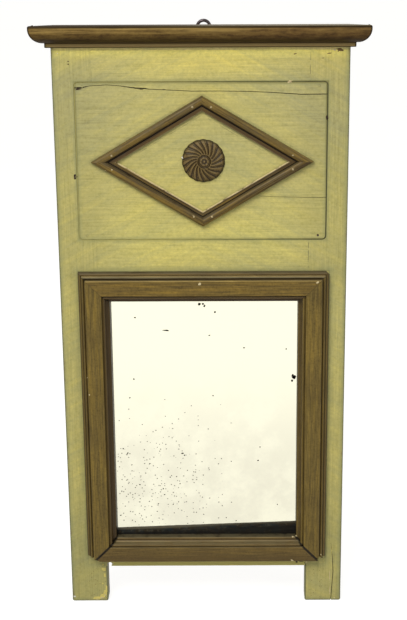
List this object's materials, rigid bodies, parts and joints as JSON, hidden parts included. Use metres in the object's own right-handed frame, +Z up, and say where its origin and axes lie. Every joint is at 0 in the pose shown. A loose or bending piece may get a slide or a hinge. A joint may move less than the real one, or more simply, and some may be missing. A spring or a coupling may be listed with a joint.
{
  "type": "rectangular mirror",
  "caption": "Painted pillar mirror: a joined board frame with feet, a lozenge panel above a moulded mirror frame, a cornice and an iron hanging ring.",
  "frame": {"origin": "centre of the object's box in plan, on the plane that the two feet stand on", "axes": "+X to the viewer's right along the mirror's width, +Y to the wall behind, +Z up the mirror's height"},
  "size_m": [0.4746, 0.0596, 0.8917],
  "materials": {
    "painted_board": "worn yellow-green distemper with darker patches",
    "dark_moulding": "brown and ochre graining, rubbed and dusty",
    "rosette_wood": "dark brown, satin",
    "bare_wood": "bare aged wood",
    "stained_lath": "near-black, grimy",
    "mirror_glass": "polished, with foxing spots",
    "nail_iron": "dull forged iron",
    "bright_nail": "rubbed bright",
    "forged_iron": "dark, smooth from use"
  },
  "bodies": {
    "mirror_body": {"left_stile": "painted_board", "right_stile": "painted_board", "top_rail": "painted_board", "middle_rail": "painted_board", "bottom_rail": "painted_board", "joint_pegs": "bare_wood", "joint_nails": "nail_iron", "upper_panel": "painted_board", "panel_nails": "nail_iron", "lozenge_upper_left": "dark_moulding", "lozenge_upper_right": "dark_moulding", "lozenge_lower_left": "dark_moulding", "lozenge_lower_right": "dark_moulding", "lozenge_nails": "bright_nail", "rosette": "rosette_wood", "frame_top": "dark_moulding", "frame_bottom": "dark_moulding", "frame_left": "dark_moulding", "frame_right": "dark_moulding", "frame_nails": "nail_iron", "mirror_glass": "mirror_glass", "packing_lath": "stained_lath", "backboard": "bare_wood", "backboard_nails": "nail_iron", "cornice_front": "dark_moulding", "cornice_left": "dark_moulding", "cornice_right": "dark_moulding", "cornice_nails": "nail_iron", "ring_staple": "forged_iron"},
    "ring_body": {"hanging_ring": "forged_iron"}
  },
  "joints": [
    {"name": "ring_swing", "type": "hinge", "parent": "mirror_body", "child": "ring_body", "pos_m": [0.004, 0.0244, 0.8716], "axis": [-1, 0, 0], "range_deg": [0, 180]}
  ]
}
